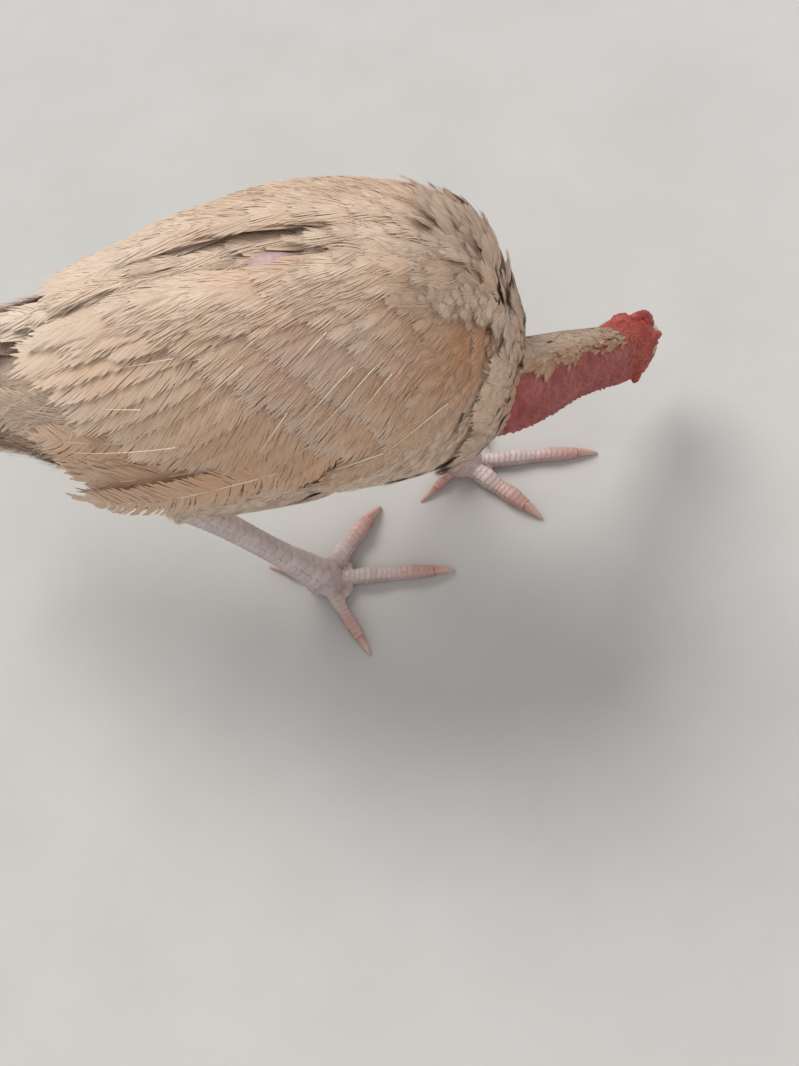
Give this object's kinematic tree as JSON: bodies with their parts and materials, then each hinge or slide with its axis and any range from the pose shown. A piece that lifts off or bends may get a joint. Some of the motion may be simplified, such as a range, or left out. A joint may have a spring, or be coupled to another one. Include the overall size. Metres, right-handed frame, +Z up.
{
  "type": "aseel hen, stooping to feed, still model",
  "caption": "Life-size still model of a buff aseel hen stooping to feed, with folded wings, low tail, bare neck, pea comb and scaled legs.",
  "frame": {"origin": "on the floor, under the middle of the whole bird's length and width", "axes": "+X towards the breast and beak, +Y towards the bird's left side, +Z up"},
  "size_m": [0.3921, 0.1789, 0.2379],
  "materials": {
    "body_feathers": "soft, warm buff body feathers with a loose, hair-like edge",
    "wing_feathers": "buff wing feathers with pale shafts and a faint silky sheen",
    "tail_feathers": "cream to buff tail feathers with pale shafts",
    "bare_skin": "bare, finely wrinkled pink-red neck skin",
    "red_skin": "bare red face, comb and wattle skin with fine bumps",
    "horn": "ivory to horn-coloured beak, smooth and slightly glossy",
    "eye": "wet pearl iris round a dark pupil",
    "leg_scutes": "greyish pink, dull leg scales, redder near the toe tips",
    "claw": "pale horn claws, slightly glossy"
  },
  "bodies": {
    "root": {"torso": "body_feathers", "neck": "bare_skin", "head": "red_skin", "beak_upper": "horn", "beak_lower": "horn", "comb": "red_skin", "dewlap": "red_skin", "wattle_right": "red_skin", "wattle_left": "red_skin", "earlobe_right": "red_skin", "earlobe_left": "red_skin", "eye_right": "eye", "eye_left": "eye", "wing_right": "wing_feathers", "wing_left": "wing_feathers", "tail": "tail_feathers", "thigh_right": "body_feathers", "thigh_left": "body_feathers", "shank_right": "leg_scutes", "shank_left": "leg_scutes", "foot_right": "leg_scutes", "foot_left": "leg_scutes", "toe_2_right": "leg_scutes", "toe_3_right": "leg_scutes", "toe_4_right": "leg_scutes", "toe_hind_right": "leg_scutes", "toe_2_left": "leg_scutes", "toe_3_left": "leg_scutes", "toe_4_left": "leg_scutes", "toe_hind_left": "leg_scutes", "claw_2_right": "claw", "claw_3_right": "claw", "claw_4_right": "claw", "claw_hind_right": "claw", "claw_2_left": "claw", "claw_3_left": "claw", "claw_4_left": "claw", "claw_hind_left": "claw"}
  },
  "joints": []
}
